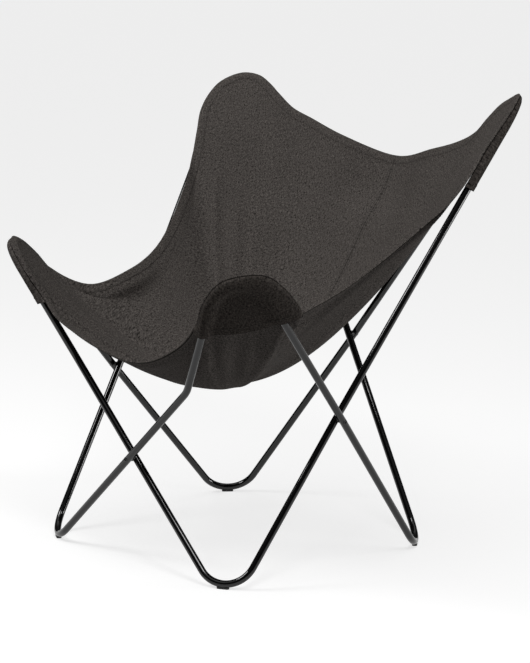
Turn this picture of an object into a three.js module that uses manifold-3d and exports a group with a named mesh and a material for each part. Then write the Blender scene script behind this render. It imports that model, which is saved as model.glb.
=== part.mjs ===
// Sling lounge chair: four bent steel rods cross in pairs and carry a canvas sling by its four corner pockets.
// Millimetres, +Z up. The sitter faces -Y, +X is the sitter's left, and the glides stand on Z = 0.
import * as THREE from 'three';
import { mergeVertices } from 'three/addons/utils/BufferGeometryUtils.js';
import Module from 'manifold-3d';

const wasm = await Module();
wasm.setup();

// Round steel rod, and the space left between two rods that cross
const rod_diameter = 14;
const crossing_gap = 4;
const fit_gap = 0.3;

// Feet: where the lines of a foot's two legs meet, as seen from above and under the floor, and its bend
const front_foot_half_width = 262;
const front_foot_reach = 265;
const front_foot_drop = 39;
const front_foot_bend_radius = 57;
const back_foot_half_width = 283;
const back_foot_reach = 265;
const back_foot_drop = 45;
const back_foot_bend_radius = 60;

// Crossings: one in front, one at the back and one at each side
const front_cross_reach = 272;
const front_cross_height = 210;
const back_cross_reach = 330;
const back_cross_height = 374;
const side_cross_half_width = 316;
const side_cross_forward = 32;
const side_cross_height = 306;
const crossing_bend_radius = 160;

// The front risers run straight on above their crossing, then lean out to the corners
const riser_straight_length = 236;
const riser_bend_radius = 70;

// Top corners: where the lines of the two risers meet, and the bend there
const front_top_half_width = 359;
const front_top_reach = 369;
const front_top_height = 704;
const front_top_bend_radius = 55;
const back_top_half_width = 409;
const back_top_reach = 413;
const back_top_height = 969;
const back_top_bend_radius = 54;

// Pins that join the rods end to end inside the pockets, this far below the end of the top bend
const joint_below_bend = 26;
const pin_diameter = 8;
const pin_length = 56;
const pin_chamfer = 1;
const pin_end_gap = 1;

// Button screw, its seat in the outer rod, its thread in the inner rod, and the spacer between the rods
const screw_diameter = 6;
const screw_chamfer = 0.8;
const screw_head_diameter = 9.6;
const screw_head_height = 3.2;
const screw_head_edge = 0.9;
const screw_head_top_diameter = 6.4;
const screw_seat_depth = 2.2;
const screw_socket_diameter = 4.6;
const screw_socket_depth = 1.8;
const screw_grip_depth = 10;
const screw_hole_depth = 11;
const spacer_diameter = 12;
const spacer_saddle = 2.2;

// Glide under each foot
const glide_length = 24;
const glide_width = 10;
const glide_corner = 4;
const glide_thickness = 1.8;
const glide_saddle = 2.2;

// Sling: canvas in two mirrored halves sewn along the middle, with a pocket layer behind each corner
const sheet_thickness = 2;
const pocket_thickness = 1.4;
const seam_gap = 0.3;
const front_edge_reach = 282;
const front_edge_height = 401;
const back_edge_reach = 452;
const back_edge_height = 731;
const seat_low_forward = 6;
const seat_low_height = 316;
const ray_bow = 30;
const ray_bow_half_width = 390;

// The cloth over and under the rods of a corner: its clearance, and where it starts to run out to the rim
const cloth_clearance = 1.2;
const cloth_ridge_half_width = 6;
const rim_gap = 0.6;

// Folds pulled in the cloth by the corners: their depth, then for each fan of them the rim point it runs to,
// how many rim points wide it is, and its share of the depth
const pull_fold_depth = 2.5;
const pull_fold_shares = [[5, 2.2, 1], [18, 3, 0.7]];

// Rim of the sling from the front seam to the back seam. Along the edges its points are shares of the half
// width, reach and height of the back top corner. At a corner they are shares of the radius of the top bend:
// across from the middle leg to the side leg, up the corner, and in towards the sitter
const front_edge_shares = [[0.403, -0.758, 0.471]];
const back_edge_shares = [[0.306, 1.027, 0.786]];
const side_edge_shares = {
  left: [[0.709, -0.31, 0.529], [0.631, -0.145, 0.529], [0.672, 0.097, 0.571], [0.812, 0.409, 0.677], [0.895, 0.533, 0.735]],
  right: [[0.709, -0.31, 0.504], [0.631, -0.145, 0.528], [0.672, 0.097, 0.569], [0.812, 0.409, 0.679], [0.895, 0.533, 0.735]],
};
const front_corner_shares = {
  left: [
    [-1.55, -0.71, 0.22], [-1.2, 0.37, 0.05], [-0.56, 1.17, 0.03], [0.23, 1.34, 0.03],
    [1, 1.19, 0.03], [1.59, 0.44, 0.03], [2.02, -0.69, 0.11],
  ],
  right: [
    [-1.55, -0.85, 0.12], [-1.23, 0.27, 0.05], [-0.63, 1.12, 0.04], [0.09, 1.2, 0.06],
    [0.86, 0.88, 0.08], [1.52, 0.3, 0.1], [1.82, -0.83, 0.2],
  ],
};
const back_corner_shares = {
  left: [
    [1.82, -1.3, 0.18], [1.66, -0.5, 0.2], [1.42, 0.25, 0.15], [1.05, 1.15, 0.08], [0.5, 1.7, 0.07],
    [-0.33, 1.31, 0.2], [-1.01, 0.85, 0.3], [-1.4, 0.2, 0.38], [-1.85, -0.45, 0.42], [-2.6, -1.1, 0.65],
  ],
  right: [
    [1.83, -1.3, 0.16], [1.7, -0.43, 0.16], [1.4, 0.26, 0.12], [0.95, 0.81, 0.08], [0.1, 1.19, 0.06],
    [-0.57, 1.06, 0.12], [-1, 0.67, 0.2], [-1.36, 0.2, 0.3], [-1.9, -0.41, 0.36], [-2.62, -0.92, 0.55],
  ],
};

// Middle of the mouth of a pocket, as above
const front_mouth_shares = [0, -0.97, -0.18];
const back_mouth_shares = [0.2, -1.85, -0.18];

// Steepness of the rays from the low point to the rim, by the compass turn of the ray from straight ahead
const ray_turns = [0, 24, 48, 95, 130, 150, 165, 180];
const ray_power_shares = [2.359, 2.21, 1.831, 1.504, 1.592, 2.02, 2.2, 2.26];

// Mesh: sides of a rod, turn of one step of a bend, longest straight step, sides of round hardware
const rod_sides = 12;
const bend_step = THREE.MathUtils.degToRad(12);
const straight_step = 150;
const round_sides = 16;
const weld = 0.001;

// Rays of a half: steps between stops, which are rim points counted from the front seam. The pockets hang
// on the second and the fourth stretch. Rows run to the rod, over it and on to the rim
const ray_stops = [[0, 0], [1.8, 4], [8, 15], [13.4, 6], [22.6, 18], [25, 3]];
const row_shares = [0, 0.14, 0.3, 0.45, 0.58, 0.69, 0.79, 0.87, 0.935, 0.975, 1];
const pocket_row_shares = [0, 0.4, 0.7, 0.88, 1];
const outer_shares = [0.5, 1];
const ridge_samples = 150;
const half_ridge_share = 0.84;
const pocket_ridge_share = 0.3;

const steel = { color: 0x0c0c0d, roughness: 0.2, metalness: 0.1 };
const zinc = { color: 0x2b2b2c, roughness: 0.35, metalness: 0.8 };
const rubber = { color: 0x161616, roughness: 0.7, metalness: 0 };
const canvas = { color: 0x4b4743, roughness: 0.95, metalness: 0 };

const up = new THREE.Vector3(0, 0, 1);
const rod_radius = rod_diameter / 2;
const vec = (x, y, z) => new THREE.Vector3(x, y, z);
const along = (point, direction, length) => point.clone().addScaledVector(direction, length);
const toward = (from, to) => to.clone().sub(from).normalize();
const mirrored = (point) => vec(-point.x, point.y, point.z);
const clamp01 = (value) => THREE.MathUtils.clamp(value, 0, 1);

// The round bend between two straight legs that would meet at a corner
function bendAt(corner, before, after, radius) {
  const a = toward(corner, before);
  const b = toward(corner, after);
  const half = a.angleTo(b) / 2;
  const inward = a.clone().add(b).normalize();
  const side = b.clone().sub(a).normalize();
  const centre = along(corner, inward, radius / Math.sin(half));
  const leg = radius / Math.tan(half);
  return { a, b, half, inward, side, centre, radius, leg };
}

// The lowest point of a bend and the level direction along the rod there
function lowestOf(bend) {
  const fall = Math.hypot(bend.inward.z, bend.side.z);
  const down = bend.inward.clone().multiplyScalar(-bend.inward.z).addScaledVector(bend.side, -bend.side.z);
  const level = bend.inward.clone().multiplyScalar(bend.side.z).addScaledVector(bend.side, -bend.inward.z);
  return { point: along(bend.centre, down.divideScalar(fall), bend.radius), level: level.divideScalar(fall) };
}

// A crossing: its middle, the normal away from the chair, and the points of the outer and the inner rod
function crossingAt(middle, footA, footB, outward) {
  const normal = toward(middle, footA).cross(toward(middle, footB)).normalize();
  normal.multiplyScalar(Math.sign(normal.dot(outward)));
  const offset = (rod_diameter + crossing_gap) / 2;
  return { middle, normal, outer: along(middle, normal, offset), inner: along(middle, normal, -offset) };
}

// A foot's corner point, moved up or down until the bend rests in its glide
function settled(corner, before, after, radius) {
  const rest = glide_thickness + fit_gap + rod_radius;
  const foot = corner.clone();
  const lift = () => rest - lowestOf(bendAt(foot, before, after, radius)).point.z;
  while (Math.abs(lift()) > weld) foot.z += lift();
  return foot;
}

// Corner points of the frame on the left; those on the right are their mirror images
const front_foot = vec(front_foot_half_width, -front_foot_reach, -front_foot_drop);
const back_foot = vec(back_foot_half_width, back_foot_reach, -back_foot_drop);
const front_top = vec(front_top_half_width, -front_top_reach, front_top_height);
const back_top = vec(back_top_half_width, back_top_reach, back_top_height);
const side_middle = vec(side_cross_half_width, -side_cross_forward, side_cross_height);

const cross = {
  front: crossingAt(vec(0, -front_cross_reach, front_cross_height), front_foot, mirrored(front_foot), vec(0, -1, 0)),
  back: crossingAt(vec(0, back_cross_reach, back_cross_height), back_foot, mirrored(back_foot), vec(0, 1, 0)),
  left: crossingAt(side_middle, front_foot, back_foot, vec(1, 0, 0)),
  right: crossingAt(mirrored(side_middle), mirrored(front_foot), mirrored(back_foot), vec(-1, 0, 0)),
};

// Each rod stands on one foot. Its lower leg crosses the chair to the far side, its side leg stays on its own
// side and carries the top corner at the other end of the chair, where it turns down to the next rod's end
const rod_plans = {
  front_left: { end: 'front', side: 'left', middle: 'inner', flank: 'inner' },
  front_right: { end: 'front', side: 'right', middle: 'outer', flank: 'inner' },
  back_left: { end: 'back', side: 'left', middle: 'inner', flank: 'outer' },
  back_right: { end: 'back', side: 'right', middle: 'outer', flank: 'outer' },
};
const foot_radius = { front: front_foot_bend_radius, back: back_foot_bend_radius };
const top_radius = { front: front_top_bend_radius, back: back_top_bend_radius };
const opposite = { front: 'back', back: 'front', left: 'right', right: 'left' };
const onSide = (point, side) => (side === 'left' ? point : mirrored(point));

for (const plan of Object.values(rod_plans)) {
  plan.first = cross[plan.end][plan.middle];
  plan.second = cross[plan.side][plan.flank];
  const corner = onSide(plan.end === 'front' ? front_foot : back_foot, plan.side);
  plan.foot = settled(corner, plan.first, plan.second, foot_radius[plan.end]);
  plan.rise = toward(plan.foot, plan.first);
  plan.lean = plan.end === 'front' ? along(plan.first, plan.rise, riser_straight_length) : plan.first;
}

// Top corners: the leg from the middle crossing, the leg from the side crossing, and the loop they bend into
const tops = {};
for (const end of ['front', 'back']) {
  for (const side of ['left', 'right']) {
    const corner = onSide(end === 'front' ? front_top : back_top, side);
    const middle_rod = rod_plans[`${end}_${opposite[side]}`];
    const side_rod = rod_plans[`${opposite[end]}_${side}`];
    const bend = bendAt(corner, middle_rod.lean, side_rod.second, top_radius[end]);
    const joint = along(corner, bend.a, bend.leg + joint_below_bend);
    tops[`${end}_${side}`] = { corner, bend, joint, middle_rod, side_rod };
  }
}

// Stations along a rod: the ends, steps of the straight legs and steps of the bends
class RodPath extends THREE.Curve {
  constructor(corners) {
    super();
    this.stations = [{ point: corners[0].point, tangent: toward(corners[0].point, corners[1].point) }];
    for (let i = 1; i < corners.length - 1; i += 1) {
      this.addBend(bendAt(corners[i].point, corners[i - 1].point, corners[i + 1].point, corners[i].radius));
    }
    this.addStraight(corners.at(-1).point);
  }

  addStraight(to) {
    const from = this.stations.at(-1).point;
    const tangent = toward(from, to);
    const steps = Math.ceil(from.distanceTo(to) / straight_step);
    for (let i = 1; i <= steps; i += 1) {
      this.stations.push({ point: from.clone().lerp(to, i / steps), tangent });
    }
  }

  addBend(bend) {
    const reach = Math.PI / 2 - bend.half;
    const steps = Math.max(1, Math.round(2 * reach / bend_step));
    const place = (turn) => bend.centre.clone()
      .addScaledVector(bend.inward, -bend.radius * Math.cos(turn))
      .addScaledVector(bend.side, bend.radius * Math.sin(turn));
    this.addStraight(place(-reach));
    for (let i = 0; i <= steps; i += 1) {
      const turn = reach * (2 * i / steps - 1);
      const tangent = bend.inward.clone().multiplyScalar(Math.sin(turn)).addScaledVector(bend.side, Math.cos(turn));
      if (i > 0) this.stations.push({ point: place(turn), tangent });
    }
  }

  stationAt(share) {
    return this.stations[Math.round(share * (this.stations.length - 1))];
  }

  getPointAt(share, target = new THREE.Vector3()) {
    return target.copy(this.stationAt(share).point);
  }

  getTangentAt(share, target = new THREE.Vector3()) {
    return target.copy(this.stationAt(share).tangent);
  }
}

for (const plan of Object.values(rod_plans)) {
  const start = tops[`${plan.end}_${opposite[plan.side]}`];
  const finish = tops[`${opposite[plan.end]}_${plan.side}`];
  const corners = [
    { point: along(start.joint, start.bend.a, fit_gap / 2) },
    { point: plan.lean, radius: plan.end === 'front' ? riser_bend_radius : crossing_bend_radius },
    { point: plan.foot, radius: foot_radius[plan.end] },
    { point: plan.second, radius: crossing_bend_radius },
    { point: finish.corner, radius: top_radius[opposite[plan.end]] },
    { point: along(finish.joint, finish.bend.a, -fit_gap / 2) },
  ];
  plan.path = new RodPath(corners);
  plan.joints = [{ ...start, into: 1 }, { ...finish, into: -1 }];
}

// Welded closed body for cutting, and back to a geometry
function toBody(geometry) {
  const bare = geometry.clone();
  bare.deleteAttribute('normal');
  bare.deleteAttribute('uv');
  const welded = mergeVertices(bare, weld);
  const vertProperties = Float32Array.from(welded.getAttribute('position').array);
  const triVerts = Uint32Array.from(welded.index.array);
  return new wasm.Manifold(new wasm.Mesh({ numProp: 3, vertProperties, triVerts }));
}

function toGeometry(body) {
  const mesh = body.getMesh();
  const geometry = new THREE.BufferGeometry();
  geometry.setAttribute('position', new THREE.BufferAttribute(Float32Array.from(mesh.vertProperties), 3));
  geometry.setIndex(new THREE.BufferAttribute(Uint32Array.from(mesh.triVerts), 1));
  return geometry;
}

// A turned piece whose profile runs from its foot to its top, set on a point along an axis
function turned(profile, point, axis, sides = round_sides) {
  const geometry = new THREE.LatheGeometry(profile.map(([radius, height]) => new THREE.Vector2(radius, height)), sides);
  geometry.applyQuaternion(new THREE.Quaternion().setFromUnitVectors(vec(0, 1, 0), axis));
  geometry.translate(point.x, point.y, point.z);
  return toBody(geometry);
}

function cylinder(diameter, from, to, point, axis, sides = round_sides) {
  return turned([[0, from], [diameter / 2, from], [diameter / 2, to], [0, to]], point, axis, sides);
}

// Rod body of a plan, grown by a clearance where it serves as a cutter
function rodBody(plan, clearance) {
  const corner = (i) => {
    const turn = 2 * Math.PI * (i + 0.5) / rod_sides;
    return new THREE.Vector2(Math.cos(turn), Math.sin(turn)).multiplyScalar(rod_radius + clearance);
  };
  const section = new THREE.Shape(Array.from({ length: rod_sides }, (_, i) => corner(i)));
  const steps = plan.path.stations.length - 1;
  return toBody(new THREE.ExtrudeGeometry(section, { steps, extrudePath: plan.path, bevelEnabled: false }));
}

for (const plan of Object.values(rod_plans)) plan.cutter = rodBody(plan, fit_gap);

// A rod with its screw holes and the bores of its end pins
function cutRod(plan) {
  let body = rodBody(plan, 0);
  const shank_hole = screw_diameter + 2 * fit_gap;
  const near = crossing_gap / 2;
  for (const [spot, layer] of [[cross[plan.end], plan.middle], [cross[plan.side], plan.flank]]) {
    if (layer === 'outer') {
      const crown = near + rod_diameter;
      const seat = crown - screw_seat_depth;
      body = body.subtract(cylinder(shank_hole, 0, crown, spot.middle, spot.normal));
      const seat_bore = screw_head_diameter + 2 * fit_gap;
      body = body.subtract(cylinder(seat_bore, seat, crown + rod_radius, spot.middle, spot.normal));
    } else {
      body = body.subtract(cylinder(shank_hole, -near - screw_hole_depth, 0, spot.middle, spot.normal));
    }
  }
  for (const { joint, bend, into } of plan.joints) {
    const depth = pin_length / 2 + pin_end_gap;
    const bore = cylinder(pin_diameter + 2 * fit_gap, 0, depth, joint, bend.a.clone().multiplyScalar(into));
    body = body.subtract(bore);
  }
  return body;
}

function pin({ joint, bend }) {
  const half = pin_length / 2;
  const radius = pin_diameter / 2;
  const profile = [[0, -half], [radius - pin_chamfer, -half], [radius, pin_chamfer - half]];
  profile.push([radius, half - pin_chamfer], [radius - pin_chamfer, half], [0, half]);
  return turned(profile, joint, bend.a);
}

// Screw with a domed head and a six-sided socket; its head sits in the outer rod, its end in the inner rod
function screw({ middle, normal }) {
  const seat = crossing_gap / 2 + rod_diameter - screw_seat_depth + fit_gap;
  const tip = -crossing_gap / 2 - screw_grip_depth;
  const shank = screw_diameter / 2;
  const head = screw_head_diameter / 2;
  const flat = screw_head_top_diameter / 2;
  const top = seat + screw_head_height;
  const dome = [0.4, 0.75].map((share) => [
    THREE.MathUtils.lerp(head, flat, share * share),
    THREE.MathUtils.lerp(seat + screw_head_edge, top, share),
  ]);
  const profile = [[0, tip], [shank - screw_chamfer, tip], [shank, tip + screw_chamfer], [shank, seat], [head, seat]];
  profile.push([head, seat + screw_head_edge], ...dome, [flat, top], [0, top]);
  const socket = cylinder(screw_socket_diameter, top - screw_socket_depth, top + screw_head_edge, middle, normal, 6);
  return turned(profile, middle, normal).subtract(socket);
}

// Spacer between the two rods of a crossing, hollowed at both ends to sit on them
function spacer({ middle, normal }, rods) {
  const half = crossing_gap / 2 + spacer_saddle;
  let body = cylinder(spacer_diameter, -half, half, middle, normal);
  for (const rod of rods) body = body.subtract(rod.cutter);
  return body.subtract(cylinder(screw_diameter + 2 * fit_gap, -spacer_diameter, spacer_diameter, middle, normal));
}

// Glide: a rounded strip under the lowest point of a foot, hollowed to take the rod
function glide(plan) {
  const { point, level } = lowestOf(bendAt(plan.foot, plan.first, plan.second, foot_radius[plan.end]));
  const x = glide_length / 2 - glide_corner;
  const y = glide_width / 2 - glide_corner;
  const outline = new THREE.Shape();
  outline.absarc(x, y, glide_corner, 0, Math.PI / 2);
  outline.absarc(-x, y, glide_corner, Math.PI / 2, Math.PI);
  outline.absarc(-x, -y, glide_corner, Math.PI, 3 * Math.PI / 2);
  outline.absarc(x, -y, glide_corner, 3 * Math.PI / 2, 2 * Math.PI);
  const depth = glide_thickness + glide_saddle;
  const block = new THREE.ExtrudeGeometry(outline, { depth, bevelEnabled: false, curveSegments: 4 });
  block.rotateZ(Math.atan2(level.y, level.x));
  block.translate(point.x, point.y, 0);
  return toBody(block).subtract(plan.cutter);
}

// The frame of a top corner seen on the left side of the chair: centre of the bend, directions and rod points
function loopOf(end, side) {
  const { corner, bend, middle_rod, side_rod } = tops[`${end}_${side}`];
  const view = (point) => onSide(point, side);
  const seen = bendAt(view(corner), view(middle_rod.lean), view(side_rod.second), bend.radius);
  const raise = seen.inward.clone().negate();
  const inwards = seen.side.clone().cross(raise).normalize();
  inwards.multiplyScalar(Math.sign(inwards.y) * (end === 'front' ? 1 : -1));
  const floor = seen.centre.dot(raise) - 4 * bend.radius;
  const points = [];
  for (const path of [middle_rod.path, side_rod.path]) {
    for (let i = 1; i < path.stations.length; i += 1) {
      const [from, to] = [view(path.stations[i - 1].point), view(path.stations[i].point)];
      const steps = Math.ceil(from.distanceTo(to) / rod_radius * 2);
      for (let k = 0; k <= steps; k += 1) points.push(from.clone().lerp(to, k / steps));
    }
  }
  const kept = points.filter((point) => point.dot(raise) > floor && point.distanceTo(seen.centre) < 6 * bend.radius);
  return { centre: seen.centre, across: seen.side, raise, inwards, radius: bend.radius, points: kept };
}

const loops = {
  left: { front: loopOf('front', 'left'), back: loopOf('back', 'left') },
  right: { front: loopOf('front', 'right'), back: loopOf('back', 'right') },
};

function inLoop(loop, [across, raise, inwards = 0]) {
  return loop.centre.clone()
    .addScaledVector(loop.across, across * loop.radius)
    .addScaledVector(loop.raise, raise * loop.radius)
    .addScaledVector(loop.inwards, inwards * loop.radius);
}

// Rim curve of a half, carried on past both seams by its mirror image
const onEdge = ([x, y, z]) => vec(x * back_top_half_width, y * back_top_reach, z * back_top_height);
function rimOf(side) {
  const points = [
    vec(0, -front_edge_reach, front_edge_height),
    ...front_edge_shares.map(onEdge),
    ...front_corner_shares[side].map((share) => inLoop(loops[side].front, share)),
    ...side_edge_shares[side].map(onEdge),
    ...back_corner_shares[side].map((share) => inLoop(loops[side].back, share)),
    ...back_edge_shares.map(onEdge),
    vec(0, back_edge_reach, back_edge_height),
  ];
  const before = [2, 1].map((i) => mirrored(points[i]));
  const after = [2, 3].map((i) => mirrored(points.at(-i)));
  const curve = new THREE.CatmullRomCurve3([...before, ...points, ...after]);
  return (count) => curve.getPoint((count + 2) / (points.length + 3));
}

// Steepness of the ray that ends at a rim point
const seat_low = vec(0, -seat_low_forward, seat_low_height);
function rayPower(end) {
  const turn = THREE.MathUtils.radToDeg(Math.atan2(end.x, seat_low.y - end.y));
  const i = Math.max(1, ray_turns.findIndex((limit) => limit >= turn - weld));
  const share = (turn - ray_turns[i - 1]) / (ray_turns[i] - ray_turns[i - 1]);
  return THREE.MathUtils.lerp(ray_power_shares[i - 1], ray_power_shares[i], share);
}

// Where a point lies by the rods of a loop: its height on one side of the loop's plane, its distance from
// the rod along that plane, and whether it is inside the loop
function besideRods(point, loop, facing) {
  let near = loop.points[0];
  for (const other of loop.points) if (other.distanceToSquared(point) < near.distanceToSquared(point)) near = other;
  const offset = point.clone().sub(near);
  const height = offset.dot(loop.inwards);
  const sideways = offset.addScaledVector(loop.inwards, -height).length();
  const raise = Math.min(0, point.clone().sub(loop.centre).dot(loop.raise));
  const middle = along(loop.centre, loop.raise, raise);
  const inPlane = (place) => {
    const arm = place.clone().sub(middle);
    return arm.addScaledVector(loop.inwards, -arm.dot(loop.inwards)).length();
  };
  return { height: height * facing, sideways, inside: inPlane(point) < inPlane(near) };
}

// Shares of a ray at which it comes onto the rod near its end and leaves it again
function ridgeOn(pointAt, loop, earliest) {
  const seen = Array.from({ length: ridge_samples + 1 }, (_, k) => {
    const share = THREE.MathUtils.lerp(earliest, 1, k / ridge_samples);
    return { share, ...besideRods(pointAt(share), loop, 1) };
  });
  const last = seen.findLastIndex(({ inside }) => inside);
  const clear = ({ sideways }) => sideways >= cloth_ridge_half_width;
  const on = seen.slice(0, last + 1).findLast(clear)?.share ?? earliest;
  const off = seen.slice(last + 1).find(clear)?.share ?? 1;
  const latest = THREE.MathUtils.lerp(1, earliest, 1 / ridge_samples);
  return [Math.min(on, latest), Math.max(on, Math.min(off, latest))];
}

// Points of a ray of cloth drawn tight over the rods of a corner, on the sitter's side or behind
function tautRay(pointAt, loop, facing, thickness, shares, earliest) {
  const wanted = rod_radius + cloth_clearance + thickness / 2;
  const lift = (point) => {
    const { height } = besideRods(point, loop, facing);
    return along(point, loop.inwards, facing * Math.max(0, wanted - height));
  };
  const [on, off] = ridgeOn(pointAt, loop, earliest);
  const inner = shares.map((share) => (share * on < earliest ? pointAt(share * on) : lift(pointAt(share * on))));
  const edge = lift(pointAt(off));
  const outer = outer_shares.map((share) => {
    const loose = pointAt(THREE.MathUtils.lerp(off, 1, share));
    const tight = edge.clone().lerp(pointAt(1), share);
    return tight.clone().sub(loose).dot(loop.inwards) * facing > 0 ? tight : loose;
  });
  return [...inner, edge, ...outer];
}

// Shallow folds that fan out from the pockets into the seat and the back
function pullFold(count, share) {
  const window = clamp01((share - 0.3) / 0.25) * clamp01((0.86 - share) / 0.2);
  return pull_fold_shares.reduce((depth, [fan_middle, fan_width, strength]) => {
    const away = count - fan_middle;
    return depth + pull_fold_depth * window * strength * Math.exp(-((away / fan_width) ** 2)) * Math.cos(Math.PI * away);
  }, 0);
}

// Rim counts of the rays of one stretch between two stops, and of all stretches
function countsOf(k) {
  const [[from], [to, steps]] = [ray_stops[k - 1], ray_stops[k]];
  return Array.from({ length: steps + 1 }, (_, i) => THREE.MathUtils.lerp(from, to, i / steps));
}

const all_counts = [0, ...[1, 2, 3, 4, 5].flatMap((k) => countsOf(k).slice(1))];

// Middle surface of a half, seen on the left: rays from the low point to the rim
function halfGrid(side, rimAt) {
  const columns = all_counts.map((count) => {
    const end = rimAt(count);
    const ray = end.clone().sub(seat_low);
    const pointAt = (share) => {
      const point = along(seat_low, ray, share);
      point.z = seat_low.z + ray.z * share ** rayPower(end);
      point.y -= ray_bow * (share - share * share) * (end.x / ray_bow_half_width) ** 2;
      point.z += pullFold(count, share) * clamp01(point.x / ray_bow);
      return point;
    };
    const loop = loops[side][end.y < 0 ? 'front' : 'back'];
    const points = tautRay(pointAt, loop, 1, sheet_thickness, row_shares, half_ridge_share);
    for (const point of points) point.x = (end.x < weld ? 0 : point.x) + seam_gap / 2;
    return points;
  });
  return turnedOver(columns);
}

// Middle surface of a pocket layer behind the rods: rays from the middle of its mouth to the rim
function pocketGrid(rimAt, loop, stretch, mouth_shares) {
  const under = (sheet_thickness + pocket_thickness) / 2 + rim_gap;
  const mouth = inLoop(loop, mouth_shares);
  const columns = countsOf(stretch).map((count) => {
    const end = along(rimAt(count), loop.inwards, -under);
    const pointAt = (share) => mouth.clone().lerp(end, share);
    return tautRay(pointAt, loop, -1, pocket_thickness, pocket_row_shares, pocket_ridge_share);
  });
  return turnedOver(columns);
}

// Rows of points from columns of points
function turnedOver(columns) {
  return columns[0].map((_, i) => columns.map((column) => column[i]));
}

// Closed sheet of even thickness about a grid of points whose first row is a single point
function sheetBody(grid, thickness, firstNormal) {
  const [rows, columns] = [grid.length, grid[0].length];
  const pick = (i, j) => grid[THREE.MathUtils.clamp(i, 0, rows - 1)][THREE.MathUtils.clamp(j, 0, columns - 1)];
  const normalAt = (i, j) => {
    const columnward = pick(i, j + 1).clone().sub(pick(i, j - 1));
    const normal = pick(i + 1, j).clone().sub(pick(i - 1, j)).cross(columnward);
    if (Math.abs(pick(i, j).x) <= seam_gap) normal.x = 0;
    return normal.normalize();
  };
  const positions = [];
  for (const side of [1, -1]) {
    for (let i = 0; i < rows; i += 1) {
      for (let j = 0; j < columns; j += 1) {
        const normal = i === 0 ? firstNormal : normalAt(i, j);
        positions.push(...along(grid[i][j], normal, side * thickness / 2).toArray());
      }
    }
  }
  const index = [];
  const at = (i, j, side) => side * rows * columns + i * columns + j;
  const quad = (a, b, c, d) => index.push(a, b, c, a, c, d);
  for (let i = 0; i < rows - 1; i += 1) {
    for (let j = 0; j < columns - 1; j += 1) {
      quad(at(i, j, 0), at(i + 1, j, 0), at(i + 1, j + 1, 0), at(i, j + 1, 0));
      quad(at(i, j, 1), at(i, j + 1, 1), at(i + 1, j + 1, 1), at(i + 1, j, 1));
    }
    const last = columns - 1;
    quad(at(i, 0, 0), at(i, 0, 1), at(i + 1, 0, 1), at(i + 1, 0, 0));
    quad(at(i, last, 0), at(i + 1, last, 0), at(i + 1, last, 1), at(i, last, 1));
  }
  for (let j = 0; j < columns - 1; j += 1) {
    const last = rows - 1;
    quad(at(last, j, 0), at(last, j, 1), at(last, j + 1, 1), at(last, j + 1, 0));
  }
  const geometry = new THREE.BufferGeometry();
  geometry.setAttribute('position', new THREE.Float32BufferAttribute(positions, 3));
  geometry.setIndex(index);
  const welded = mergeVertices(geometry, weld);
  const kept = [];
  const all = welded.index.array;
  for (let k = 0; k < all.length; k += 3) {
    const [a, b, c] = [all[k], all[k + 1], all[k + 2]];
    if (a !== b && b !== c && c !== a) kept.push(a, b, c);
  }
  welded.setIndex(kept);
  return toBody(welded);
}

// A body seen on the left, put on its own side of the chair
const placed = (body, side) => (side === 'left' ? body : body.mirror([1, 0, 0]));

const chair = new THREE.Group();
chair.name = 'sling_lounge_chair';
function add(name, body, finish) {
  const mesh = new THREE.Mesh(toGeometry(body), new THREE.MeshStandardMaterial(finish));
  mesh.name = name;
  chair.add(mesh);
}

for (const [name, plan] of Object.entries(rod_plans)) {
  add(`frame_rod_${name}`, cutRod(plan), steel);
  add(`foot_glide_${name}`, glide(plan), rubber);
  add(`joint_pin_${name}`, pin(tops[name]), zinc);
}
for (const [name, spot] of Object.entries(cross)) {
  const rods = Object.values(rod_plans).filter((plan) => plan.end === name || plan.side === name);
  add(`cross_screw_${name}`, screw(spot), zinc);
  add(`cross_spacer_${name}`, spacer(spot, rods), zinc);
}
for (const side of ['left', 'right']) {
  const rimAt = rimOf(side);
  add(`sling_half_${side}`, placed(sheetBody(halfGrid(side, rimAt), sheet_thickness, up), side), canvas);
  for (const [end, stretch, mouth_shares] of [['front', 2, front_mouth_shares], ['back', 4, back_mouth_shares]]) {
    const loop = loops[side][end];
    const body = sheetBody(pocketGrid(rimAt, loop, stretch, mouth_shares), pocket_thickness, loop.inwards);
    add(`sling_pocket_${end}_${side}`, placed(body, side), canvas);
  }
}

// Origin under the middle of the whole chair
const box = new THREE.Box3().setFromObject(chair);
const middle = box.getCenter(new THREE.Vector3());
for (const mesh of chair.children) mesh.geometry.translate(-middle.x, -middle.y, -box.min.z);

export default chair;
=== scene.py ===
"""Sling lounge chair of crossing bent steel rods and a canvas sling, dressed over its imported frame."""

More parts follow.
